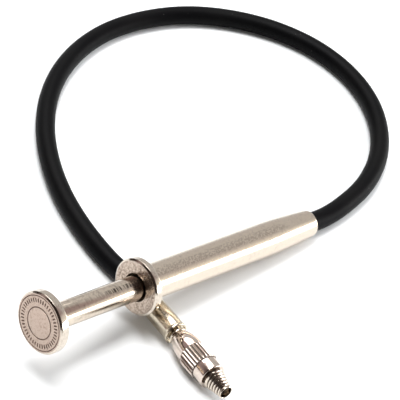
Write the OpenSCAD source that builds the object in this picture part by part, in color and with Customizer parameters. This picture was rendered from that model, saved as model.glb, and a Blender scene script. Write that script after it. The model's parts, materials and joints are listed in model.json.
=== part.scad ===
// Plunger cable release for a camera shutter.
// +Z is up, the release lies on the plane z = 0, and the barrel runs along +Y
// from the thumb button to the cable. The cable comes round in one flat loop and
// passes under the barrel, so the barrel's front rests on the ferrule.

/* [Thumb button and plunger] */
// Diameter of the thumb button
button_d = 9.8; // [9:0.1:10.4]
// Thickness of the thumb button
button_t = 1.65; // [1.4:0.05:2]
// Distance from the button's face to the flange's face at rest
plunger_out = 19.9; // [18:0.1:21]
// Outer diameter of the plunger rod
rod_d = 4; // [3.9:0.1:4.1]
// Bore of the plunger rod
rod_bore = 2.7; // [2.6:0.05:2.8]
// Travel of the plunger
travel = 12; // [8:0.5:12]

/* [Barrel and flange] */
// Diameter of the finger flange
flange_d = 9.2; // [8.8:0.1:10]
// Thickness of the finger flange
flange_t = 1.55; // [1.4:0.05:1.7]
// Outer diameter of the barrel
barrel_d = 5.7; // [5.6:0.05:5.8]
// Distance from the flange's face to the barrel's rear lip
barrel_len = 40.5; // [39.8:0.1:41.2]
// Distance from the flange's face to the start of the taper
taper_from = 30.2; // [29.6:0.1:31.4]
// Diameter of the barrel's rear end
barrel_end_d = 4.65; // [4.6:0.05:4.8]
// Slope of the barrel down towards its rear end, in degrees
slope = 7.3; // [7.3:0.1:7.6]

/* [Cable] */
// Diameter of the black cover
cover_d = 3.3; // [3.2:0.05:3.3]
// Diameter of the coiled conduit
conduit_d = 2.2; // [2.1:0.05:2.2]
// Bore of the coiled conduit
conduit_bore = 1.4; // [1.35:0.05:1.5]
// Diameter of the drive wire
wire_d = 1.2; // [1.1:0.05:1.2]

/* [Ferrule, nut and nipple] */
// Diameter of the ferrule
ferrule_d = 3.75; // [3.7:0.05:3.8]
// Diameter of the knurled band
knurl_d = 4.8; // [4.7:0.05:4.8]
// Number of teeth in the knurled band
knurl_teeth = 24; // [20:1:36]
// Diameter of the nut's plain nose
nose_d = 4.35; // [4.2:0.05:4.4]
// Large diameter of the conical thread
thread_big_d = 3.6; // [3.5:0.05:3.6]
// Small diameter of the conical thread
thread_small_d = 2.25; // [2.25:0.05:2.4]
// Length of the conical thread
thread_len = 3.15; // [3.1:0.05:3.3]
// Pitch of the conical thread
thread_pitch = 0.5; // [0.5:0.05:0.6]
// Diameter of the release pin
pin_d = 1.7; // [1.65:0.01:1.72]

/* [Hidden] */
$fn = 64;

// Heights along the barrel's axis, from the flange's face towards the cable.
flange_wall = 0.65;
bush_len = 6;
bush_end = flange_wall + bush_len;
stop_gap = 0.03;
collar_len = 1.72;
rod_end = bush_end + stop_gap + collar_len;
button_back = button_t - plunger_out;
spigot_len = 2.5;
anchor_from = -9;
anchor_len = 3;
guide_from = 7;
shoulder = 31;
seat_t = 0.45;
stop_from = 31.6;
guide_to = 33.5;
conduit_from = 34.3;
mouth_from = 38.4;
plunger_wire_to = 25.9;
core_from = plunger_wire_to + travel + 0.3;
lip_r = 0.6;

// Diameters inside the barrel.
barrel_bore = 4.9;
rear_bore = 4;
flange_hole = 4.5;
rod_play = 0.06;
collar_d = 4.8;
seat_d = 4.86;
guide_d = 2.5;
guide_bore = 1.5;
spring_d = 4.3;
spring_wire = 0.45;
spring_turns = 14;

// Distances along the tip's axis, back from the end of the nipple.
nose_from = 3.65;
knurl_from = 5.85;
knurl_to = 9.3;
nut_end = 12.9;
nipple_end = 8.6;
head_seat = 11;
ring_from = 13;
ring_w = 0.5;
lip_from = 13.75;
lip_mouth_to = 14.15;
ferrule_bore_from = 14.5;
stem_end = 17.2;
ferrule_end = 24.2;
mouth_len = 1.4;
pin_from = 1;
pin_to = 14.4;
crimp_len = 2;
pin_wire_to = 17.1;
core_to = 17.4;

// Diameters inside the tip.
shank_d = 3;
undercut_d = 2.9;
mouth_d = 1.95;
pin_play = 0.08;
stem_d = 2.4;
stem_bore = 1.8;
head_d = 3.2;
head_play = 0.1;
head_float = 0.03;
ring_d = 3.05;
ferrule_lip_d = 3.95;
lip_mouth_d = 3.25;
thread_depth = 0.15;
knurl_depth = 0.2;

// Place of the handle. The rounded rear lip touches the plane z = 0, and the box
// round the handle is centred on x = 0 and y = 0.
lip_mid_r = barrel_end_d / 2 - lip_r;
flange_z = (barrel_len - lip_r) * sin(slope) + lip_mid_r * cos(slope) + lip_r;
rear_y = (barrel_len - lip_r) * cos(slope) + lip_mid_r * sin(slope) + lip_r;
front_y = -plunger_out * cos(slope) - button_d / 2 * sin(slope);
flange_y = -(rear_y + front_y) / 2;

// Place of the tip. The knurled band's rear edge touches the plane z = 0.
tip_xy = [21.2, -8.9];
tip_heading = -8.7;
tip_tilt = 1.8;
tip_z = knurl_d / 2 + knurl_to * sin(tip_tilt);
tip_end = [tip_xy.x, tip_xy.y, tip_z];
tip_axis = [cos(tip_heading) * cos(tip_tilt), sin(tip_heading) * cos(tip_tilt), sin(tip_tilt)];

function handle_at(s) = [0, flange_y + s * cos(slope), flange_z - s * sin(slope)];
function tip_at(u) = tip_end - u * tip_axis;

// Points of the cable's middle line from the barrel's lip to the ferrule.
lie_z = 1.68;
loop = [[-0.4, 38.3], [-2.3, 46.3], [-6, 53.5], [-11.5, 59.6], [-18.4, 64], [-26.3, 66.1],
        [-34.4, 65.6], [-41.9, 62.5], [-48.2, 57.3], [-52.9, 50.6], [-55.5, 42.9],
        [-56.2, 34.7], [-54.8, 26.7], [-51.6, 19.2], [-46.9, 12.5], [-41, 6.8],
        [-34.2, 2.2], [-26.8, -1.3], [-19, -3.6], [-10.9, -4.8]];
function route(from, to) = concat(
    [handle_at(from), handle_at(barrel_len), handle_at(barrel_len + 3.5)],
    [for (p = loop) [p.x, p.y, lie_z]],
    [tip_at(ferrule_end + 2), tip_at(ferrule_end), tip_at(to)]);

// Sweeping a round section along points.
sides = 8;
function unit(v) = v / norm(v);
function heading(path, i) =
    unit(path[min(i + 1, len(path) - 1)] - path[max(i - 1, 0)]);
function ring(path, i, r) =
    let (t = heading(path, i), side = unit(cross(t, [0, 0, 1])), up = cross(side, t))
    [for (k = [0 : sides - 1]) path[i] + r * (cos(360 * k / sides) * side + sin(360 * k / sides) * up)];
function wall(rings, first, out) =
    [for (i = [0 : rings - 2], k = [0 : sides - 1], half = [0, 1])
        let (a = first + i * sides + k, b = first + i * sides + (k + 1) % sides,
             tri = half == 0 ? [a, b, b + sides] : [a, b + sides, a + sides])
        out ? tri : [tri[2], tri[1], tri[0]]];
function cap(first) = [for (k = [1 : sides - 2]) [first, first + k, first + k + 1]];
function back(tris) = [for (t = tris) [t[2], t[1], t[0]]];
function end_band(outer, inner) =
    [for (k = [0 : sides - 1], half = [0, 1])
        let (n = (k + 1) % sides)
        half == 0 ? [outer + k, inner + k, inner + n] : [outer + k, inner + n, outer + n]];

module swept_rod(path, d) {
    rings = len(path);
    polyhedron(
        points = [for (i = [0 : rings - 1]) each ring(path, i, d / 2)],
        faces = concat(wall(rings, 0, false), cap(0), back(cap((rings - 1) * sides))));
}

module swept_tube(path, d, bore) {
    rings = len(path);
    inner = rings * sides;
    last = (rings - 1) * sides;
    polyhedron(
        points = [for (r = [d / 2, bore / 2], i = [0 : rings - 1]) each ring(path, i, r)],
        faces = concat(wall(rings, 0, false), wall(rings, inner, true),
                       back(end_band(0, inner)), end_band(last, inner + last)));
}

// Turned tube between two distances along the local Z axis.
module turned(d, bore, from, to) {
    translate([0, 0, from])
        difference() {
            cylinder(d = d, h = to - from);
            translate([0, 0, -1]) cylinder(d = bore, h = to - from + 2);
        }
}

module on_handle() {
    translate(handle_at(0)) rotate([-90 - slope, 0, 0]) children();
}

// The tip's pieces are drawn with their distance from the nipple's end as +Z.
module on_tip() {
    translate(tip_end) rotate([0, 90 - tip_tilt, tip_heading]) mirror([0, 0, 1]) children();
}

module thumb_button() {
    edge = 0.22;
    groove = 0.1;
    face = -plunger_out;
    color("tan") on_handle() {
        difference() {
            rotate_extrude()
                polygon([[0, face], [button_d / 2 - edge, face], [button_d / 2, face + edge],
                         [button_d / 2, button_back - edge], [button_d / 2 - edge, button_back],
                         [0, button_back]]);
            for (r = [4.3, 2.6])
                translate([0, 0, face - groove]) turned(2 * r, 2 * r - 0.3, 0, 2 * groove);
        }
        translate([0, 0, button_back]) cylinder(d = rod_bore, h = spigot_len);
    }
}

module plunger_tube() {
    color("silver") on_handle() turned(rod_d, rod_bore, button_back, rod_end);
}

module plunger_collar() {
    color("goldenrod") on_handle() turned(collar_d, rod_d, rod_end - collar_len, rod_end);
}

module wire_anchor() {
    color("goldenrod") on_handle()
        turned(rod_bore, wire_d, anchor_from, anchor_from + anchor_len);
}

module plunger_wire() {
    color("gray") on_handle()
        translate([0, 0, anchor_from]) cylinder(d = wire_d, h = plunger_wire_to - anchor_from);
}

module finger_flange() {
    edge = 0.2;
    r = flange_d / 2;
    color("tan") on_handle()
        rotate_extrude()
            polygon([[flange_hole / 2, 0], [r - edge, 0], [r, edge], [r, flange_t - edge],
                     [r - edge, flange_t], [barrel_d / 2, flange_t],
                     [barrel_d / 2, flange_wall], [flange_hole / 2, flange_wall]]);
}

module guide_bush() {
    color("goldenrod") on_handle() turned(barrel_bore, rod_d + rod_play, flange_wall, bush_end);
}

module barrel_tube() {
    steps = 6;
    drop = (barrel_d - barrel_end_d) / 2;
    run = barrel_len - lip_r - taper_from;
    mouth_r = cover_d / 2 + 0.05;
    color("silver") on_handle()
        rotate_extrude()
            polygon(concat(
                [[barrel_bore / 2, flange_wall], [barrel_d / 2, flange_wall]],
                [for (i = [0 : steps])
                    [barrel_d / 2 - drop * pow(i / steps, 1.4), taper_from + run * i / steps]],
                [for (a = [15 : 15 : 90])
                    [lip_mid_r + lip_r * cos(a), barrel_len - lip_r + lip_r * sin(a)]],
                [[mouth_r, barrel_len], [mouth_r, mouth_from], [rear_bore / 2, mouth_from],
                 [rear_bore / 2, shoulder], [barrel_bore / 2, shoulder]]));
}

module return_spring() {
    steps = 12;
    mid_r = (spring_d - spring_wire) / 2;
    low = rod_end + spring_wire / 2;
    high = shoulder - seat_t - spring_wire / 2;
    coil = [for (i = [0 : spring_turns * steps])
        [mid_r * cos(360 * i / steps), mid_r * sin(360 * i / steps),
         low + (high - low) * i / (spring_turns * steps)]];
    color("darkgray") on_handle() swept_rod(coil, spring_wire);
}

module spring_seat() {
    color("goldenrod") on_handle() turned(seat_d, guide_d + 0.1, shoulder - seat_t, shoulder);
}

module guide_tube() {
    color("goldenrod") on_handle() turned(guide_d, guide_bore, guide_from, guide_to);
}

module conduit_anchor() {
    color("goldenrod") on_handle()
        difference() {
            translate([0, 0, stop_from]) cylinder(d = rear_bore, h = mouth_from - stop_from);
            translate([0, 0, stop_from - 1]) cylinder(d = guide_bore, h = mouth_from);
            translate([0, 0, stop_from - 1]) cylinder(d = guide_d, h = guide_to - stop_from + 1);
            translate([0, 0, conduit_from]) cylinder(d = conduit_d, h = mouth_from);
        }
}

module cable_cover() {
    color("#202020") swept_tube(route(mouth_from, stem_end), cover_d, conduit_d);
}

module cable_conduit() {
    color("gray") swept_tube(route(conduit_from, stem_end), conduit_d, conduit_bore);
}

module core_wire() {
    color("silver") swept_rod(route(core_from, core_to), wire_d);
}

module tip_ferrule() {
    color("silver") on_tip()
        difference() {
            union() {
                translate([0, 0, lip_from]) cylinder(d = ferrule_d, h = ferrule_end - lip_from);
                translate([0, 0, lip_from])
                    rotate_extrude()
                        polygon([[0, 0], [ferrule_d / 2, 0], [ferrule_lip_d / 2, 0.15],
                                 [ferrule_lip_d / 2, 0.4], [ferrule_d / 2, 0.6], [0, 0.6]]);
            }
            translate([0, 0, lip_from - 1]) cylinder(d = stem_d + 0.04, h = 5);
            translate([0, 0, lip_from - 1]) cylinder(d = lip_mouth_d, h = 1 + lip_mouth_to - lip_from);
            translate([0, 0, ferrule_bore_from]) cylinder(d = cover_d, h = ferrule_end);
        }
}

module conduit_stop() {
    color("goldenrod") on_tip() turned(cover_d, stem_d, ferrule_bore_from, stem_end);
}

module swivel_stem() {
    color("silver") on_tip()
        difference() {
            union() {
                translate([0, 0, nipple_end + head_float])
                    cylinder(d = head_d, h = head_seat - nipple_end - 2 * head_float);
                translate([0, 0, head_seat - 2 * head_float])
                    cylinder(d = stem_d, h = stem_end - head_seat + 2 * head_float);
            }
            translate([0, 0, nipple_end]) cylinder(d = stem_bore, h = stem_end);
        }
}

module swivel_ring() {
    r = ring_d / 2;
    bead = ring_w / 2;
    color("silver") on_tip()
        translate([0, 0, ring_from])
            rotate_extrude()
                polygon([[stem_d / 2, 0], [r - bead, 0], [r - 0.07, 0.1], [r, bead],
                         [r - 0.07, ring_w - 0.1], [r - bead, ring_w], [stem_d / 2, ring_w]]);
}

// Outline of a toothed band, for a straight knurl.
module toothed_disc(d, depth, teeth) {
    polygon([for (i = [0 : teeth - 1], j = [0 : 3])
        let (r = d / 2 - (j == 0 || j == 3 ? depth : 0), a = 360 * (i + [0.1, 0.4, 0.6, 0.9][j]) / teeth)
        [r * cos(a), r * sin(a)]]);
}

module knurled_nut() {
    bevel = 0.25;
    root_d = knurl_d - 2 * knurl_depth;
    color("silver") on_tip()
        difference() {
            union() {
                rotate_extrude()
                    polygon([[0, nose_from], [nose_d / 2 - 0.12, nose_from],
                             [nose_d / 2, nose_from + 0.12], [nose_d / 2, knurl_from],
                             [root_d / 2, knurl_from], [root_d / 2, knurl_to], [2.2, knurl_to],
                             [2.18, 10.1], [2.08, 11], [1.9, 11.8], [1.7, 12.4],
                             [1.55, nut_end - 0.1], [1.45, nut_end], [0, nut_end]]);
                intersection() {
                    translate([0, 0, knurl_from])
                        linear_extrude(knurl_to - knurl_from)
                            toothed_disc(knurl_d, knurl_depth, knurl_teeth);
                    rotate_extrude()
                        polygon([[0, knurl_from], [knurl_d / 2 - bevel, knurl_from],
                                 [knurl_d / 2, knurl_from + bevel], [knurl_d / 2, knurl_to - bevel],
                                 [knurl_d / 2 - bevel, knurl_to], [0, knurl_to]]);
                }
            }
            cylinder(d = shank_d, h = nipple_end);
            translate([0, 0, nipple_end]) cylinder(d = head_d + head_play, h = head_seat - nipple_end);
            cylinder(d = stem_d + head_play, h = nut_end + 1);
        }
}

module thread_nipple() {
    turns = floor(thread_len / thread_pitch);
    cone = (thread_big_d - thread_small_d) / 2 / thread_len;
    function crest(u) = thread_small_d / 2 + cone * u;
    teeth = [for (i = [0 : turns - 1])
        let (u = 0.1 + i * thread_pitch)
        each [[crest(u + 0.05), u + 0.05], [crest(u + 0.25) - thread_depth, u + 0.25],
              [crest(u + 0.45), u + 0.45]]];
    color("silver") on_tip()
        difference() {
            rotate_extrude()
                polygon(concat(
                    [[0, 0], [crest(0) - 0.05, 0], [crest(0.06), 0.06]],
                    teeth,
                    [[thread_big_d / 2, thread_len], [undercut_d / 2, thread_len],
                     [undercut_d / 2, nose_from], [shank_d / 2, nose_from],
                     [shank_d / 2, nipple_end], [0, nipple_end]]));
            translate([0, 0, -1]) cylinder(d = mouth_d, h = 1 + mouth_len);
            translate([0, 0, -1]) cylinder(d = pin_d + pin_play, h = nipple_end + 2);
        }
}

module release_pin() {
    color("silver") on_tip()
        difference() {
            rotate_extrude()
                polygon([[0, pin_from], [0.55, pin_from], [0.75, pin_from + 0.08],
                         [pin_d / 2, pin_from + 0.3], [pin_d / 2, pin_to], [0, pin_to]]);
            translate([0, 0, pin_to - 0.8]) cylinder(d = wire_d, h = 1);
        }
}

module pin_crimp() {
    color("goldenrod") on_tip() turned(pin_d, wire_d, pin_to, pin_to + crimp_len);
}

module pin_wire() {
    color("gray") on_tip()
        translate([0, 0, pin_to - 0.8]) cylinder(d = wire_d, h = pin_wire_to - pin_to + 0.8);
}

thumb_button();
plunger_tube();
plunger_collar();
wire_anchor();
plunger_wire();
finger_flange();
guide_bush();
barrel_tube();
return_spring();
spring_seat();
guide_tube();
conduit_anchor();
cable_cover();
cable_conduit();
core_wire();
tip_ferrule();
conduit_stop();
swivel_stem();
swivel_ring();
knurled_nut();
thread_nipple();
release_pin();
pin_crimp();
pin_wire();
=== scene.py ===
# Looks of the plunger cable release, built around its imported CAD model.
# Lengths in the shapes below are in millimetres, and MM turns them into metres.
import json
import math

import bpy
import numpy as np
from mathutils import Matrix, Vector


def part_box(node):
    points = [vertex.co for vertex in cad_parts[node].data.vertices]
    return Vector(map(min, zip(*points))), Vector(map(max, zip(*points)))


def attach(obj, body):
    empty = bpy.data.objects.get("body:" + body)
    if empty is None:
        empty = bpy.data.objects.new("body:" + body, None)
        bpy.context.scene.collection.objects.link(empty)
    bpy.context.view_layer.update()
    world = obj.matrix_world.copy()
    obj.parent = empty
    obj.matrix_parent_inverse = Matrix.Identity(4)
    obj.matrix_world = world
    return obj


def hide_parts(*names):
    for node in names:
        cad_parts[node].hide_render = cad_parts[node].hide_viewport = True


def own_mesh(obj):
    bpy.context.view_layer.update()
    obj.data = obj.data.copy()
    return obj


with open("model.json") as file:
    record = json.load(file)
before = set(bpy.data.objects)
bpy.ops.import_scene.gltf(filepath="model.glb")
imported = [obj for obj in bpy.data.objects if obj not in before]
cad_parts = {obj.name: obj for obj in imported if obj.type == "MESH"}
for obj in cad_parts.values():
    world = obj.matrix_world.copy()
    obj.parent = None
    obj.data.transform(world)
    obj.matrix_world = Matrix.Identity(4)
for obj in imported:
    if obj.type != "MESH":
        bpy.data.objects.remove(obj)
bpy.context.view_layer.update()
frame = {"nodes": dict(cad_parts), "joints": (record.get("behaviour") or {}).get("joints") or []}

MM = 0.001
TAU = 2 * math.pi


# ---------------------------------------------------------------- camera

AZIMUTH = math.radians(37.41)
ELEVATION = math.radians(40.31)
ROLL = math.radians(15.47)
DISTANCE = 0.3672
TARGET = Vector((-0.01517, 0.01969, 0))
LENS = 198


def place_camera():
    forward = Vector((-math.sin(AZIMUTH) * math.cos(ELEVATION),
                      math.cos(AZIMUTH) * math.cos(ELEVATION), -math.sin(ELEVATION)))
    level = Vector((math.cos(AZIMUTH), math.sin(AZIMUTH), 0))
    upright = level.cross(forward)
    right = math.cos(ROLL) * level + math.sin(ROLL) * upright
    up = math.cos(ROLL) * upright - math.sin(ROLL) * level
    camera = bpy.data.objects.new("camera", bpy.data.cameras.new("camera"))
    bpy.context.collection.objects.link(camera)
    camera.data.lens = LENS
    camera.data.clip_start = 0.01
    turn = Matrix((right, up, -forward)).transposed().to_4x4()
    camera.matrix_world = Matrix.Translation(TARGET - DISTANCE * forward) @ turn
    bpy.context.scene.camera = camera


place_camera()


# ------------------------------------------------- axes and sizes from the frame

JOINTS = {joint["name"]: joint for joint in frame["joints"]}
PRESS = JOINTS["plunger_press"]
SWIVEL = JOINTS["nut_swivel"]


def node_points(node):
    return np.array([v.co for v in frame["nodes"][node].data.vertices], float)


def frame_along(origin, direction):
    """Matrix of a local frame at origin, with its Z along direction."""
    z = Vector(direction).normalized()
    x = Vector((0, 0, 1)).cross(z).normalized()
    y = z.cross(x)
    return Matrix.Translation(origin) @ Matrix((x, y, z)).transposed().to_4x4()


def span(node, place):
    """Lowest and highest place along the local Z of a turned node, and its radii, in mm."""
    inverse = np.array(place.inverted())
    points = node_points(node) @ inverse[:3, :3].T + inverse[:3, 3]
    radius = np.hypot(points[:, 0], points[:, 1])
    return [round(float(v) / MM, 3)
            for v in (points[:, 2].min(), points[:, 2].max(), radius.min(), radius.max())]


def middle(node):
    low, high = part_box(node)
    return (low + high) / 2


# The handle's frame starts at the flange's face and runs towards the cable. The tip's
# frame starts at the nipple's end and runs back along the tip.
HANDLE_WAY = Vector(PRESS["axis"])
TIP_WAY = -Vector(SWIVEL["axis"])
rod_frame = frame_along(middle("plunger_tube"), HANDLE_WAY)
handle_start = middle("plunger_tube") + HANDLE_WAY * span("finger_flange", rod_frame)[0] * MM
HANDLE = frame_along(handle_start, HANDLE_WAY)
swivel_frame = frame_along(Vector(SWIVEL["pos_m"]), TIP_WAY)
tip_start = Vector(SWIVEL["pos_m"]) + TIP_WAY * span("thread_nipple", swivel_frame)[0] * MM
TIP = frame_along(tip_start, TIP_WAY)


def on_handle(s):
    return HANDLE @ Vector((0, 0, s * MM))


def on_tip(u):
    return TIP @ Vector((0, 0, u * MM))


# ---------------------------------------------------------------- mesh tools

SHARP = math.radians(38)


def new_piece(name, verts, faces, place=None):
    mesh = bpy.data.meshes.new(name)
    mesh.from_pydata([tuple(v) for v in verts], [], faces)
    mesh.validate()
    mesh.shade_smooth()
    mesh.set_sharp_from_angle(angle=SHARP)
    piece = bpy.data.objects.new(name, mesh)
    bpy.context.collection.objects.link(piece)
    if place is not None:
        piece.matrix_world = place
    return piece


def finish_piece(piece, body, material, slot, *nodes, patches=()):
    """Gives a piece its material and body, and hides the CAD nodes that it stands for.
    slot is not used. A patch is another material, the lowest and highest place along the local Z
    where it is used, and the largest radius, in mm."""
    piece.data.materials.clear()
    piece.data.materials.append(material)
    for index, (patch, low, high, reach) in enumerate(patches, 1):
        piece.data.materials.append(patch)
        for polygon in piece.data.polygons:
            x, y, z = polygon.center / MM
            if low < z < high and math.hypot(x, y) < reach:
                polygon.material_index = index
    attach(piece, body)
    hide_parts(*nodes)


def rounded(corners, steps=4, closed=True):
    """Outline through corners (radius, height, fillet), with an arc at each fillet."""
    points = []
    count = len(corners)
    for i, (r, z, fillet) in enumerate(corners):
        corner = Vector((r, z))
        if fillet == 0 or (not closed and i in (0, count - 1)):
            points.append(corner)
            continue
        before = Vector(corners[i - 1][:2]) - corner
        after = Vector(corners[(i + 1) % count][:2]) - corner
        half = before.angle(after) / 2
        cut = min(fillet / math.tan(half), 0.49 * before.length, 0.49 * after.length)
        radius = cut * math.tan(half)
        inward = (before.normalized() + after.normalized()).normalized()
        centre = corner + inward * radius / math.sin(half)
        start = corner + before.normalized() * cut - centre
        end = corner + after.normalized() * cut - centre
        sweep = start.angle_signed(end)
        for k in range(steps + 1):
            points.append(centre + start @ Matrix.Rotation(sweep * k / steps, 2))
    return [(p.x, p.y) for p in points]


def turned(name, outline, place, sides=96, closed=True, shape=None):
    """Solid turned from an outline of (radius, height). shape(r, z, angle) may move a point."""
    verts, rings = [], []
    for r, z in outline:
        if r < 1e-6:
            rings.append([len(verts)] * sides)
            verts.append((0, 0, z * MM))
            continue
        rings.append([len(verts) + k for k in range(sides)])
        for k in range(sides):
            angle = TAU * k / sides
            radius, height = shape(r, z, angle) if shape else (r, z)
            verts.append((radius * math.cos(angle) * MM, radius * math.sin(angle) * MM,
                          height * MM))
    faces = []
    pairs = list(zip(rings, rings[1:])) + ([(rings[-1], rings[0])] if closed else [])
    for low, high in pairs:
        for k in range(sides):
            n = (k + 1) % sides
            face = list(dict.fromkeys((low[k], low[n], high[n], high[k])))
            if len(face) > 2:
                faces.append(face)
    return new_piece(name, verts, faces, place)


def smooth_path(points, spacing):
    """Points of a centripetal spline through the given ones, about spacing apart."""
    knots = [Vector(p) for p in points]
    knots = [2 * knots[0] - knots[1]] + knots + [2 * knots[-1] - knots[-2]]
    path = []
    for a, b, c, d in zip(knots, knots[1:], knots[2:], knots[3:]):
        t1 = math.sqrt((b - a).length)
        t2 = t1 + math.sqrt((c - b).length)
        t3 = t2 + math.sqrt((d - c).length)
        steps = max(1, round((c - b).length / spacing))
        for k in range(steps):
            t = t1 + (t2 - t1) * k / steps
            p = a * (t1 - t) / t1 + b * t / t1
            q = b * (t2 - t) / (t2 - t1) + c * (t - t1) / (t2 - t1)
            s = c * (t3 - t) / (t3 - t2) + d * (t - t2) / (t3 - t2)
            u = p * (t2 - t) / t2 + q * t / t2
            v = q * (t3 - t) / (t3 - t1) + s * (t - t1) / (t3 - t1)
            path.append(u * (t2 - t) / (t2 - t1) + v * (t - t1) / (t2 - t1))
    return path + [knots[-2]]


def swept(name, path, radius, sides, bore=0, wave=None):
    """Tube or rod along a path. wave(distance, angle) is added to its radius."""
    side = None
    rings, distance = [], 0
    for i, p in enumerate(path):
        ahead = (path[min(i + 1, len(path) - 1)] - path[max(i - 1, 0)]).normalized()
        if side is None:
            side = ahead.orthogonal().normalized()
        side = (side - ahead * side.dot(ahead)).normalized()
        up = ahead.cross(side)
        if i:
            distance += (p - path[i - 1]).length
        rings.append((p, side.copy(), up, distance))
    verts, faces = [], []

    def wall(r, wavy):
        first = len(verts)
        for p, side, up, distance in rings:
            for k in range(sides):
                angle = TAU * k / sides
                rad = r + (wave(distance, angle) if wave and wavy else 0)
                verts.append(p + rad * (math.cos(angle) * side + math.sin(angle) * up))
        for i in range(len(rings) - 1):
            for k in range(sides):
                a, b = first + i * sides + k, first + i * sides + (k + 1) % sides
                quad = (a, b, b + sides, a + sides)
                faces.append(quad if wavy else quad[::-1])
        return first

    outer = wall(radius, True)
    last = (len(rings) - 1) * sides
    if bore:
        inner = wall(bore, False)
        for k in range(sides):
            n = (k + 1) % sides
            faces.append((outer + k, inner + k, inner + n, outer + n))
            faces.append((outer + last + k, outer + last + n, inner + last + n, inner + last + k))
    else:
        faces.append([outer + k for k in reversed(range(sides))])
        faces.append([outer + last + k for k in range(sides)])
    return new_piece(name, verts, faces)


# ---------------------------------------------------------------- materials

class Tree:
    """Short names for building a node tree."""

    def __init__(self, tree):
        self.tree = tree

    def add(self, kind, **settings):
        node = self.tree.nodes.new(kind)
        for key, value in settings.items():
            setattr(node, key, value)
        return node

    def link(self, source, target):
        self.tree.links.new(source, target)

    def ramp(self, value, low, high, to_low=0.0, to_high=1.0):
        node = self.add("ShaderNodeMapRange", interpolation_type="SMOOTHSTEP")
        limits = {"From Min": low, "From Max": high, "To Min": to_low, "To Max": to_high}
        for key, number in limits.items():
            node.inputs[key].default_value = number
        self.link(value, node.inputs["Value"])
        return node.outputs["Result"]

    def along(self, vector, direction):
        """How far a vector goes in a direction."""
        node = self.add("ShaderNodeVectorMath", operation="DOT_PRODUCT")
        self.link(vector, node.inputs[0])
        node.inputs[1].default_value = direction
        return node.outputs["Value"]

    def mix(self, share, first, second):
        node = self.add("ShaderNodeMix", data_type="RGBA")
        sockets = (node.inputs[0], node.inputs[6], node.inputs[7])
        for socket, value in zip(sockets, (share, first, second)):
            if isinstance(value, tuple):
                socket.default_value = (*value, 1)
            else:
                self.link(value, socket)
        return node.outputs[2]


class Nodes(Tree):
    """Node tree of a new material, with the coordinates of the object that it is on."""

    def __init__(self, name):
        self.material = bpy.data.materials.new(name)
        self.material.use_nodes = True
        super().__init__(self.material.node_tree)
        self.shader = self.tree.nodes["Principled BSDF"]
        self.place = self.add("ShaderNodeTexCoord").outputs["Object"]

    def stretch(self, per_mm):
        """Object coordinates with so many units to the millimetre along X, Y and Z."""
        mapping = self.add("ShaderNodeMapping")
        mapping.inputs["Scale"].default_value = [v / MM for v in per_mm]
        self.link(self.place, mapping.inputs["Vector"])
        return mapping.outputs["Vector"]

    def noise(self, vector, scale=1.0, detail=4.0, roughness=0.5):
        texture = self.add("ShaderNodeTexNoise")
        texture.inputs["Scale"].default_value = scale
        texture.inputs["Detail"].default_value = detail
        texture.inputs["Roughness"].default_value = roughness
        self.link(vector, texture.inputs["Vector"])
        return texture.outputs["Fac"]

    def cells(self, vector, scale=1.0):
        texture = self.add("ShaderNodeTexVoronoi")
        texture.inputs["Scale"].default_value = scale
        self.link(vector, texture.inputs["Vector"])
        return texture.outputs["Distance"]

    def math(self, operation, first, second):
        node = self.add("ShaderNodeMath", operation=operation)
        for socket, value in zip(node.inputs, (first, second)):
            if isinstance(value, (int, float)):
                socket.default_value = value
            else:
                self.link(value, socket)
        return node.outputs[0]

    def bump(self, height, depth_mm, strength=1.0, after=None):
        node = self.add("ShaderNodeBump")
        node.inputs["Distance"].default_value = depth_mm * MM
        node.inputs["Strength"].default_value = strength
        self.link(height, node.inputs["Height"])
        if after is not None:
            self.link(after, node.inputs["Normal"])
        return node.outputs["Normal"]

    def radius(self):
        """Distance from the local Z axis, in millimetres."""
        flat = self.stretch((1, 1, 0))
        node = self.add("ShaderNodeVectorMath", operation="LENGTH")
        self.link(flat, node.inputs[0])
        return node.outputs["Value"]


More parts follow.
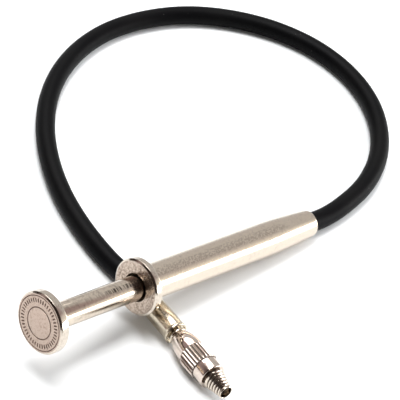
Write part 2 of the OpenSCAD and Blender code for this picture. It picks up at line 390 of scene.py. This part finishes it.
def metal(name, colour, stain, roughness=0.2, mottle=0.5, pits=0.5, dent=0.004,
          grain="drawn", cell=(2.8, 2.8, 2.8), worn=None, shade_hollows=None, thick=0, soft=0.1):
    """Old plated metal: stained, pitted and finely scratched. mottle and pits are the
    strengths of the stains and pits, dent is the depth of the relief in mm, thick spreads
    the stains and soft blurs them. The grain is drawn along the local Z or turned round
    it. cell is how many pits there may be to the mm along X, Y and Z. worn is an angle
    round the Z, two distances towards that side and two places on the Z, between which
    the pits thicken. shade_hollows is the slope of a cone, two radii between which painted
    shade darkens the hollows below the cone, and the radius of a bore left unshaded."""
    n = Nodes(name)
    base = n.stretch((1, 1, 1))
    cloud = n.noise(base, 0.5, 4, 0.6)
    fine = n.noise(base, 2.3, 6, 0.7)
    where = n.noise(base, 0.8, 3, 0.5)
    apart = n.add("ShaderNodeSeparateXYZ")
    n.link(base, apart.inputs[0])
    pit = n.math("MULTIPLY", n.ramp(n.cells(n.stretch(cell)), 0.42, 0.2),
                 n.ramp(where, 0.4, 0.52))
    if worn:
        side, low, high, start, full = worn
        up = n.along(base, (math.cos(side), math.sin(side), 0))
        line = n.math("MULTIPLY", n.ramp(up, low, high),
                      n.ramp(apart.outputs["Z"], start, full, 0.2, 1))
        dense = n.ramp(n.cells(n.stretch(cell)), 0.62, 0.4)
        pit = n.math("MAXIMUM", n.math("MULTIPLY", pit, 0.25), n.math("MULTIPLY", dense, line))
    if grain == "drawn":
        lines = n.noise(n.stretch((12, 12, 0.3)), 1, 3, 0.6)
    else:
        ring = n.add("ShaderNodeCombineXYZ")
        n.link(n.radius(), ring.inputs["X"])
        n.link(apart.outputs["Z"], ring.inputs["Z"])
        lines = n.noise(ring.outputs["Vector"], 4.5, 4, 0.75)
    edge = 0.56 - thick
    stained = n.math("MULTIPLY", n.ramp(fine, edge - soft, edge + soft),
                     n.ramp(cloud, 0.35, 0.7, 0.3, 1))
    share = n.math("MAXIMUM", n.math("MULTIPLY", stained, mottle), n.math("MULTIPLY", pit, pits))
    surface = n.mix(share, colour, stain)
    rough = n.math("ADD", n.ramp(fine, 0.3, 0.8, roughness * 0.8, roughness * 1.5),
                   n.math("MULTIPLY", lines, roughness * 0.25))
    # Painted shade: below a cone through the crests, the hollows get darker and rougher.
    if shade_hollows:
        slope, unshaded, fully_shaded, bore = shade_hollows
        radius = n.radius()
        deep = n.math("SUBTRACT", radius, n.math("MULTIPLY", apart.outputs["Z"], slope))
        shade_share = n.math("MULTIPLY", n.ramp(deep, unshaded, fully_shaded, 0, 0.9),
                      n.ramp(radius, bore, bore + 0.01))
        surface = n.mix(shade_share, surface, HOLLOW_SHADE)
        rough = n.math("ADD", rough, n.math("MULTIPLY", shade_share, 0.3))
    n.link(surface, n.shader.inputs["Base Color"])
    n.link(rough, n.shader.inputs["Roughness"])
    cut = n.bump(lines, dent, 0.6, n.bump(fine, dent, 0.7))
    n.link(n.bump(pit, -2.5 * dent, 0.8, cut), n.shader.inputs["Normal"])
    n.shader.inputs["Metallic"].default_value = 1
    return n.material


def vinyl(name):
    """Satin black cover with a fine grain and a few specks of dust."""
    n = Nodes(name)
    base = n.stretch((1, 1, 1))
    grain = n.noise(base, 5, 5, 0.6)
    cloud = n.noise(base, 0.12, 4, 0.5)
    speck = n.ramp(n.cells(base, 0.8), 0.1, 0.05)
    dust = n.math("MULTIPLY", speck, n.ramp(n.noise(base, 0.4, 2), 0.52, 0.6, 0, 0.5))
    black = n.mix(n.ramp(cloud, 0.3, 0.7), (0.0018, 0.0018, 0.0022), (0.0035, 0.0034, 0.0036))
    n.link(n.mix(dust, black, (0.09, 0.085, 0.08)), n.shader.inputs["Base Color"])
    n.link(n.ramp(grain, 0.3, 0.7, 0.42, 0.55), n.shader.inputs["Roughness"])
    n.link(n.bump(grain, 0.012, 0.5), n.shader.inputs["Normal"])
    n.shader.inputs["Specular IOR Level"].default_value = 0.05
    return n.material


NICKEL = (0.66, 0.575, 0.48)
# Near-black colour of the painted shade in hollows.
HOLLOW_SHADE = (0.06, 0.04, 0.03)
STAIN = (0.27, 0.205, 0.155)
# The button's face is a darker copy of the rim's nickel; the darkness is painted shade for the
# dimmer floor that it reflects, and its stains and pits are its own.
BUTTON = metal("button_face", (0.46, 0.36, 0.30), (0.24, 0.165, 0.125), 0.17, 0.8, 0.4, 0.006,
               "turned", soft=0.06)
FLANGE = metal("flange_face", (0.52, 0.43, 0.36), (0.13, 0.09, 0.065), 0.2, 0.95, 0.8, 0.006,
               "turned", thick=0.07, soft=0.05)
RIM = metal("rim_nickel", (0.64, 0.57, 0.49), STAIN, 0.12, 0.4, 0.4, 0.002, "turned")
ROD = metal("rod_nickel", NICKEL, (0.05, 0.035, 0.025), 0.13, 0.45, 1.0, 0.003, "turned",
            (0.25, 0.25, 5), (math.radians(107), 1.95, 1.985, -9, -5))
BARREL = metal("barrel_nickel", NICKEL, (0.30, 0.245, 0.195), 0.14, 0.35, 0.45, 0.003, "drawn",
               (3.8, 3.8, 4.6), (math.radians(106), 2.73, 2.81, 0, 1))
FERRULE = metal("ferrule_nickel", (0.58, 0.515, 0.41), (0.45, 0.38, 0.27), 0.2, 0.35, 0.2, 0.0006)
NUT = metal("nut_nickel", (0.68, 0.59, 0.52), (0.45, 0.34, 0.30), 0.09, 0.4, 0.3, 0.0006)
# The knurl's grooves get painted shade.
KNURL = metal("knurl_nickel", (0.72, 0.63, 0.56), (0.45, 0.34, 0.30), 0.1, 0.3, 0.2, 0.0006,
              shade_hollows=(0, 2.37, 2.2, 2))
# The thread's roots get painted shade; the mouth's bore is left out.
NIPPLE = metal("nipple_nickel", (0.68, 0.60, 0.51), (0.40, 0.31, 0.22), 0.12, 0.4, 0.3, 0.0008,
               "turned", shade_hollows=(0.2143, 1.06, 0.88, 0.985))
# Near-black metal for the bottoms of the button's grooves and ticks: painted shade.
GROOVE_SHADE = metal("groove_painted_shade", (0.20, 0.14, 0.11), HOLLOW_SHADE, 0.4, 0.6, 0.5, 0.002)
NECK = metal("neck_nickel", (0.66, 0.59, 0.49), (0.42, 0.33, 0.22), 0.16, 0.3, 0.2, 0.0006,
             "turned")
BRASS = metal("brass", (0.62, 0.44, 0.19), (0.32, 0.20, 0.08), 0.3, 0.5, 0.2, 0.003, "turned")
# Near-black brass: painted shade, on the guide bush seen through the gap at the flange's hole and
# in the flange's bore.
SHADE_BRASS = metal("brass_painted_shade", (0.07, 0.05, 0.03), (0.03, 0.022, 0.015), 0.45, 0.5, 0.2, 0.003,
              "turned")
WIRE = metal("wire_steel", (0.44, 0.42, 0.40), (0.22, 0.18, 0.15), 0.3, 0.4, 0.2, 0.002)
# Dark steel for the release pin: painted shade, so that the nipple's mouth looks dark inside.
SHADED_PIN = metal("pin_steel_painted_shade", (0.20, 0.17, 0.14), (0.07, 0.05, 0.04), 0.25, 0.5, 0.5, 0.002, "turned")
CONDUIT = metal("conduit_steel", (0.40, 0.39, 0.38), (0.20, 0.17, 0.15), 0.35, 0.5, 0.2, 0.002)
SPRING = metal("spring_steel", (0.42, 0.41, 0.40), (0.20, 0.17, 0.15), 0.25, 0.4, 0.2, 0.002)
COVER = vinyl("black_vinyl")


# ---------------------------------------------------------------- cable

# Diameters, places along the Z of the handle or the tip, and the height at which the
# cable's middle line lies.
COVER_D = 3.3
CONDUIT_D = 2.2
CONDUIT_BORE = 1.4
WIRE_D = 1.2
BARREL_LEN = 40.5
MOUTH_FROM = 38.4
CONDUIT_FROM = 34.3
CORE_FROM = 38.2
FERRULE_END = 24.2
STEM_END = 17.2
CORE_TO = 17.4
LIE_Z = 1.68
# X and Y of the cable's middle line on the floor, from the barrel round to the ferrule.
LOOP = [(-0.4, 38.3), (-2.3, 46.3), (-6, 53.5), (-11.5, 59.6), (-18.4, 64), (-26.3, 66.1),
        (-34.4, 65.6), (-41.9, 62.5), (-48.2, 57.3), (-52.9, 50.6), (-55.5, 42.9),
        (-56.2, 34.7), (-54.8, 26.7), (-51.6, 19.2), (-46.9, 12.5), (-41, 6.8),
        (-34.2, 2.2), (-26.8, -1.3), (-19, -3.6), (-10.9, -4.8)]


def route(start, end):
    """Points of the cable's middle line between a place in the barrel and one in the ferrule."""
    return ([on_handle(start), on_handle(BARREL_LEN), on_handle(BARREL_LEN + 3.5)]
            + [Vector((x, y, LIE_Z)) * MM for x, y in LOOP]
            + [on_tip(FERRULE_END + 2), on_tip(FERRULE_END), on_tip(end)])


def build_cable():
    """The cover, the coiled conduit inside it and the stranded wire inside that."""
    cover_path = smooth_path(route(MOUTH_FROM, STEM_END), 0.9 * MM)
    cover = swept("cable_cover_vinyl", cover_path, COVER_D / 2 * MM, 40, CONDUIT_D / 2 * MM)
    finish_piece(cover, "handle", COVER, "cover", "cable_cover")

    coil_pitch = 0.5 * MM
    coil_depth = 0.14 * MM

    def coil(distance, angle):
        return -coil_depth * (1 - abs(math.cos(math.pi * (distance / coil_pitch - angle / TAU))))

    conduit_path = smooth_path(route(CONDUIT_FROM, STEM_END), coil_pitch / 5)
    conduit = swept("cable_conduit_coil", conduit_path, CONDUIT_D / 2 * MM, 16,
                    CONDUIT_BORE / 2 * MM, coil)
    finish_piece(conduit, "handle", CONDUIT, "conduit", "cable_conduit")

    core_path = smooth_path(route(CORE_FROM, CORE_TO), 0.5 * MM)
    core = swept("core_wire_strands", core_path, WIRE_D / 2 * MM, 24, 0, strands)
    finish_piece(core, "handle", WIRE, "wire", "core_wire")
    return cover, cover_path


def strands(distance, angle):
    """Grooves between the outer strands of a twisted wire."""
    outer_strands, lay, depth = 6, 6 * MM, 0.06 * MM
    around = outer_strands / 2 * (angle - TAU * distance / lay)
    return -depth * (1 - abs(math.cos(around)))


cover, cover_path = build_cable()


# ---------------------------------------------------------------- handle

# Width and depth of the bevel round the button's and the flange's front.
EDGE = 0.31
EDGE_DEEP = 0.24
TICKS = 44
TICKS_FROM = 3.25
TICKS_TO = 3.95
TICK_DEEP = 0.1
# Inner and outer radius of each turned groove on the button, in mm.
GROOVES = ((2.4, 2.6), (4.24, 4.4))


def button():
    """Thumb button: a flat disc with a milled border between two turned grooves,
    and a spigot in the rod."""
    front, spigot, _, radius = span("thumb_button", HANDLE)
    back = span("plunger_tube", HANDLE)[0]
    bore = 1.35
    deep = front + TICK_DEEP

    def ticks(r, z, angle):
        if not TICKS_FROM < r < TICKS_TO or z > front + 0.01:
            return r, z
        return r, z + TICK_DEEP * max(0, math.cos(angle * TICKS)) ** 0.5

    def groove(inner, outer):
        return [(inner, front, 0.02), (inner + 0.04, deep, 0.03), (outer - 0.04, deep, 0.03),
                (outer, front, 0.02)]

    border = [(TICKS_FROM + (TICKS_TO - TICKS_FROM) * k / 6, front, 0) for k in range(7)]
    corners = [(0, front, 0)] + groove(*GROOVES[0]) + border + groove(*GROOVES[1])
    corners += [(radius - EDGE, front, 0.04), (radius, front + EDGE_DEEP, 0.06),
                (radius, back - 0.22, 0.15), (radius - 0.22, back, 0.15),
                (bore, back, 0), (bore, spigot, 0.12), (0, spigot, 0)]
    piece = turned("thumb_button_disc", rounded(corners, closed=False), HANDLE, TICKS * 8,
                   False, ticks)
    flat = radius - EDGE + 0.02
    patches = [(BUTTON, front - 0.01, deep + 0.01, flat),
               # The bottoms of the grooves and ticks get painted shade.
               (GROOVE_SHADE, front + 0.03, deep + 0.01, flat)]
    finish_piece(piece, "plunger", RIM, "button", "thumb_button", patches=patches)


def rod():
    low, high, inner, outer = span("plunger_tube", HANDLE)
    corners = [(inner, low, 0.05), (outer, low, 0.08), (outer, high, 0.1), (inner, high, 0.05)]
    piece = turned("plunger_tube_rod", rounded(corners), HANDLE)
    finish_piece(piece, "plunger", ROD, "rod", "plunger_tube")


def flange():
    low, high, inner, outer = span("finger_flange", HANDLE)
    step, _, _, barrel_r = span("barrel_tube", HANDLE)
    corners = [(inner, low, 0.12), (outer - EDGE, low, 0.04), (outer, low + EDGE_DEEP, 0.06),
               (outer, high - 0.3, 0.2), (outer - 0.3, high, 0.2), (barrel_r, high, 0.03),
               (barrel_r, step, 0), (inner, step, 0.04)]
    piece = turned("finger_flange_disc", rounded(corners), HANDLE, 160)
    patches = [(FLANGE, low - 0.01, low + 0.01, outer),
               # The bore of the flange's hole gets near-black brass: painted shade.
               (SHADE_BRASS, low + 0.01, step, inner + 0.13)]
    finish_piece(piece, "handle", RIM, "flange", "finger_flange", patches=patches)


def barrel():
    """Barrel: straight, then drawn down to a rounded lip round the cable."""
    low, high, _, outer = span("barrel_tube", HANDLE)
    taper_from, end_r, lip = 30.2, 2.325, 0.6
    bore, rear_bore, shoulder, mouth = 2.45, 2, 31, COVER_D / 2 + 0.05
    run = high - lip - taper_from
    steps = 18
    outline = [(bore, low), (outer, low)]
    outline += [(outer, low + (taper_from - low) * k / 12) for k in range(1, 12)]
    outline += [(outer - (outer - end_r) * (k / steps) ** 1.4, taper_from + run * k / steps)
                for k in range(steps + 1)]
    outline += [(end_r - lip + lip * math.cos(a), high - lip + lip * math.sin(a))
                for a in (math.radians(90 * k / 8) for k in range(1, 9))]
    outline += [(mouth + 0.05, high), (mouth, high - 0.05), (mouth, MOUTH_FROM),
                (rear_bore, MOUTH_FROM), (rear_bore, shoulder), (bore, shoulder)]
    piece = turned("barrel_tube_shell", outline, HANDLE, 128)
    finish_piece(piece, "handle", BARREL, "barrel", "barrel_tube")


def spring():
    """Return spring: an even coil."""
    wire, outer, turns, steps = 0.45, 4.3, 14, 40
    low, high = span("return_spring", HANDLE)[:2]
    low, high = low + wire / 2, high - wire / 2
    radius = (outer - wire) / 2
    count = turns * steps
    path = []
    for i in range(count + 1):
        angle = TAU * i / steps
        height = low + (high - low) * i / count
        path.append(HANDLE @ Vector((radius * math.cos(angle) * MM,
                                     radius * math.sin(angle) * MM, height * MM)))
    piece = swept("return_spring_coil", path, wire / 2 * MM, 12)
    finish_piece(piece, "handle", SPRING, "spring", "return_spring")
    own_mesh(piece)


def bushes():
    """The plain turned brass pieces inside the handle and the tip."""
    inside = [("guide_bush", "handle", HANDLE), ("plunger_collar", "plunger", HANDLE),
              ("wire_anchor", "plunger", HANDLE), ("spring_seat", "handle", HANDLE),
              ("guide_tube", "handle", HANDLE), ("conduit_stop", "handle", TIP),
              ("pin_crimp", "pin", TIP)]
    edge = 0.06
    for node, body, place in inside:
        low, high, inner, outer = span(node, place)
        corners = [(inner, low, edge), (outer, low, edge), (outer, high, edge),
                   (inner, high, edge)]
        piece = turned(node + "_turned", rounded(corners, 3), place, 64)
        # The guide bush shows through the gap at the flange's hole, so it gets the near-black
        # brass: painted shade.
        brass = SHADE_BRASS if node == "guide_bush" else BRASS
        finish_piece(piece, body, brass, "inner_brass", node)


def anchor():
    """Brass block that holds the conduit and the guide tube in the barrel's rear."""
    low, high, _, outer = span("conduit_anchor", HANDLE)
    guide_to, conduit_from = 33.5, 34.3
    hole, guide, conduit = 0.75, 1.25, CONDUIT_D / 2
    corners = [(guide, low, 0.05), (outer, low, 0.1), (outer, high, 0.05), (conduit, high, 0.05),
               (conduit, conduit_from, 0), (hole, conduit_from, 0), (hole, guide_to, 0),
               (guide, guide_to, 0)]
    piece = turned("conduit_anchor_block", rounded(corners, 3), HANDLE, 64)
    finish_piece(piece, "handle", BRASS, "inner_brass", "conduit_anchor")


def straight_wires():
    for node, body, place in (("plunger_wire", "plunger", HANDLE), ("pin_wire", "pin", TIP)):
        low, high, _, outer = span(node, place)
        steps = round((high - low) / 0.4)
        path = [place @ Vector((0, 0, (low + (high - low) * k / steps) * MM))
                for k in range(steps + 1)]
        piece = swept(node + "_strands", path, outer * MM, 24, 0, strands)
        finish_piece(piece, body, WIRE, "wire", node)


# ---------------------------------------------------------------- tip

def ferrule():
    """Ferrule on the cable's end, with a rolled lip round an open mouth."""
    low, high, _, lip_r = span("tip_ferrule", TIP)
    radius, bore, hole, mouth = 1.875, COVER_D / 2, 1.22, 1.625
    bore_from, mouth_to = 14.5, 14.15
    corners = [(hole, mouth_to, 0.04), (mouth, mouth_to, 0.1), (mouth, low, 0.1),
               (lip_r - 0.02, low, 0.16), (lip_r, low + 0.3, 0.12), (radius, low + 0.62, 0.2),
               (radius, high, 0.2), (bore, high, 0.03), (bore, bore_from, 0),
               (hole, bore_from, 0)]
    piece = turned("tip_ferrule_sleeve", rounded(corners, 5), TIP, 128)
    finish_piece(piece, "handle", FERRULE, "ferrule", "tip_ferrule")


def neck():
    """Swivel stem with its head in the nut, and the bead ring on it."""
    low, high, bore, head = span("swivel_stem", TIP)
    stem, seat = 1.2, 10.97
    corners = [(bore, low, 0.04), (head, low, 0.08), (head, seat, 0.08), (stem, seat, 0.05),
               (stem, high, 0.04), (bore, high, 0.04)]
    piece = turned("swivel_stem_turned", rounded(corners), TIP)
    finish_piece(piece, "handle", NECK, "neck", "swivel_stem")

    low, high, inner, outer = span("swivel_ring", TIP)
    bead = (high - low) / 2
    outline = [(inner, high), (inner, low)]
    outline += [(outer - bead + bead * math.sin(a), low + bead - bead * math.cos(a))
                for a in (math.pi * k / 12 for k in range(13))]
    piece = turned("swivel_ring_bead", outline, TIP)
    finish_piece(piece, "handle", NECK, "neck", "swivel_ring")


TEETH = 24
KNURL_FROM = 5.85
KNURL_TO = 9.3
KNURL_R = 2.4
KNURL_DEPTH = 0.24


def knurl(r, z, angle):
    """Cuts straight rounded grooves into the nut's wide band."""
    if not KNURL_FROM < z < KNURL_TO:
        return r, z
    groove = 0.5 - 0.5 * math.cos(angle * TEETH)
    return min(r, KNURL_R - KNURL_DEPTH * groove ** 0.8), z


def nut():
    """Knurled nut: plain nose, knurled band and a rounded back over the swivel head."""
    low, high, _, outer = span("knurled_nut", TIP)
    nose, shank, pocket, neck_hole = 2.175, 1.5, 1.65, 1.25
    nipple_end, head_seat = 8.6, 11
    band = [(outer - 0.22, KNURL_FROM + 0.001), (outer - 0.06, KNURL_FROM + 0.12)]
    band += [(outer, KNURL_FROM + 0.3 + (KNURL_TO - KNURL_FROM - 0.6) * k / 6) for k in range(7)]
    band += [(outer - 0.06, KNURL_TO - 0.14), (outer - 0.2, KNURL_TO - 0.001)]
    ogive = [(2.2, KNURL_TO), (2.19, 9.7), (2.18, 10.1), (2.14, 10.55), (2.08, 11), (2.0, 11.4),
             (1.9, 11.8), (1.81, 12.1), (1.7, 12.4), (1.62, 12.62), (1.55, high - 0.1),
             (1.5, high - 0.02), (1.42, high), (1.3, high - 0.02), (neck_hole, high - 0.1)]
    outline = rounded([(shank, low, 0.03), (nose, low, 0.16), (nose, KNURL_FROM - 0.1, 0),
                       (nose - 0.08, KNURL_FROM - 0.05, 0), (nose - 0.08, KNURL_FROM, 0)], 5, False)
    outline += band + ogive
    outline += [(neck_hole, head_seat), (pocket, head_seat), (pocket, nipple_end),
                (shank, nipple_end)]
    piece = turned("knurled_nut_body", outline, TIP, TEETH * 16, True, knurl)
    finish_piece(piece, "swivel_nut", NUT, "nut", "knurled_nut",
                 patches=[(KNURL, KNURL_FROM, KNURL_TO, outer)])


def nipple():
    """Conical nipple with a true right-hand thread, a sharp mouth and an undercut."""
    pitch, depth, length = 0.5, 0.28, 3.15
    big, small = 1.8, 1.125
    bore, mouth, mouth_len = 0.89, 0.975, 1.4
    undercut, nose_from, shank = 1.45, 3.65, 1.5
    end = span("thread_nipple", TIP)[1]

    def thread(r, z, angle):
        if not 0.06 < z < length + 0.001 or r < mouth + 0.02:
            return r, z
        turn = (z / pitch - angle / TAU) % 1
        cut = depth * (1 - abs(2 * turn - 1)) ** 0.85
        fade = min(1, (z - 0.06) / 0.2) * min(1, (length - z) / 0.12)
        return max(mouth + 0.04, r - cut * max(0, fade)), z

    steps = 120
    outline = [(mouth, mouth_len), (mouth, 0.04), (mouth + 0.04, 0), (small - 0.05, 0)]
    outline += [(small + (big - small) * k / steps, 0.06 + (length - 0.06) * k / steps)
                for k in range(steps + 1)]
    outline += [(undercut, length + 0.08), (undercut, nose_from), (shank, nose_from), (shank, end),
                (bore, end), (bore, mouth_len)]
    piece = turned("thread_nipple_cone", outline, TIP, 96, True, thread)
    finish_piece(piece, "swivel_nut", NIPPLE, "nipple", "thread_nipple")


def pin():
    """Release pin with a domed end and a hole for the wire behind."""
    low, high, _, outer = span("release_pin", TIP)
    wire, hole_from = WIRE_D / 2, high - 0.8
    dome = 0.35
    outline = [(0, low)]
    outline += [(outer * math.sin(a), low + dome * (1 - math.cos(a)))
                for a in (math.pi / 2 * k / 8 for k in range(1, 9))]
    outline += [(outer, high - 0.05), (outer - 0.05, high), (wire, high), (wire, hole_from),
                (0, hole_from)]
    piece = turned("release_pin_rod", outline, TIP, 64, False)
    # The pin's dark steel is painted shade inside the nipple's mouth.
    finish_piece(piece, "pin", SHADED_PIN, "wire", "release_pin")


for build in (button, rod, flange, barrel, spring, bushes, anchor, straight_wires,
              ferrule, neck, nut, nipple, pin):
    build()


# ---------------------------------------------------------------- floor and light

def build_floor():
    mesh = bpy.data.meshes.new("floor")
    half, gap = 1.5, 0.02 * MM
    corners = [(-half, -half, 0), (half, -half, 0), (half, half, 0), (-half, half, 0)]
    mesh.from_pydata(corners, [], [(0, 1, 2, 3)])
    floor = bpy.data.objects.new("floor", mesh)
    floor.location.z = -gap
    bpy.context.collection.objects.link(floor)
    n = Nodes("white_table")
    paper = n.noise(n.stretch((0.1, 0.1, 0.1)), 1, 2)
    n.link(n.mix(paper, (0.885, 0.885, 0.88), (0.915, 0.92, 0.92)), n.shader.inputs["Base Color"])
    n.shader.inputs["Roughness"].default_value = 0.9
    n.shader.inputs["Specular IOR Level"].default_value = 0.1
    mesh.materials.append(n.material)


def softbox(name, azimuth, elevation, distance, size, radiance, colour, on_floor=True,
            mirrored=True):
    """Rectangular light in that direction from the object, which it faces. on_floor lets
    it light matt surfaces, and mirrored lets it show in reflections."""
    way = Vector((math.cos(math.radians(azimuth)) * math.cos(math.radians(elevation)),
                  math.sin(math.radians(azimuth)) * math.cos(math.radians(elevation)),
                  math.sin(math.radians(elevation))))
    data = bpy.data.lights.new(name, "AREA")
    data.shape = "RECTANGLE"
    data.size, data.size_y = size
    data.color = colour
    data.energy = radiance * math.pi * size[0] * size[1]
    lamp = bpy.data.objects.new(name, data)
    bpy.context.collection.objects.link(lamp)
    turn = way.to_track_quat("Z", "Y").to_matrix().to_4x4()
    lamp.matrix_world = Matrix.Translation(way * distance) @ turn
    lamp.visible_camera = False
    lamp.visible_diffuse = on_floor
    lamp.visible_glossy = mirrored


# Directions of the dark end of the room, a dark patch low on its left and its brightest wall.
DARK_SIDE = (0.46, -0.61, 0.65)
DARK_PATCH = (-0.92, -0.25, 0.29)
BRIGHT_SIDE = (0.60, 0.79, 0.11)
# Radiance of the walls and of what is below them, and the even light on matt surfaces.
WALL = (0.68, 0.67, 0.66)
DIM_WALL = (0.42, 0.33, 0.33)
BRIGHT_WALL = (1.05, 1.0, 0.92)
DARK_WALL = (0.04, 0.028, 0.024)
BELOW = (1.4, 1.4, 1.4)
EVEN_LIGHT = (0.22, 0.22, 0.22)
BACKDROP = (1.0, 1.0, 1.0)


def build_world():
    """Studio walls: warm grey, dark on the side that the button faces, bright on the far
    side and white below."""
    world = bpy.data.worlds.new("studio")
    bpy.context.scene.world = world
    world.use_nodes = True
    n = Tree(world.node_tree)
    n.tree.nodes.clear()
    way = n.add("ShaderNodeTexCoord").outputs["Generated"]
    front = n.along(way, DARK_SIDE)
    walls = n.mix(n.ramp(front, 0.02, 0.2), WALL, DIM_WALL)
    walls = n.mix(n.ramp(n.along(way, BRIGHT_SIDE), 0.84, 0.96), walls, BRIGHT_WALL)
    walls = n.mix(n.ramp(front, 0.4, 0.6), walls, DARK_WALL)
    walls = n.mix(n.ramp(n.along(way, DARK_PATCH), 0.93, 0.97), walls, DARK_WALL)
    room = n.mix(n.ramp(n.along(way, (0, 0, 1)), 0.0, -0.03), walls, BELOW)
    ray = n.add("ShaderNodeLightPath").outputs
    room = n.mix(ray["Is Diffuse Ray"], room, EVEN_LIGHT)
    seen = n.mix(ray["Is Camera Ray"], room, BACKDROP)
    background = n.add("ShaderNodeBackground")
    n.link(seen, background.inputs["Color"])
    n.link(background.outputs[0], n.add("ShaderNodeOutputWorld").inputs["Surface"])


build_floor()
build_world()
softbox("key", 188, 77, 1.0, (0.55, 0.5), 13, (0.98, 0.99, 1))
softbox("window", 53, 6, 1.2, (1.2, 0.42), 8, (1, 1, 1))
softbox("left_light", 162, 51, 1.0, (0.8, 0.36), 5, (1, 1, 1), on_floor=False)
softbox("fill", 65, 40, 1.2, (0.95, 0.8), 4.6, (0.96, 0.98, 1), mirrored=False)

scene = bpy.context.scene
scene.view_settings.view_transform = "Standard"
scene.view_settings.look = "None"
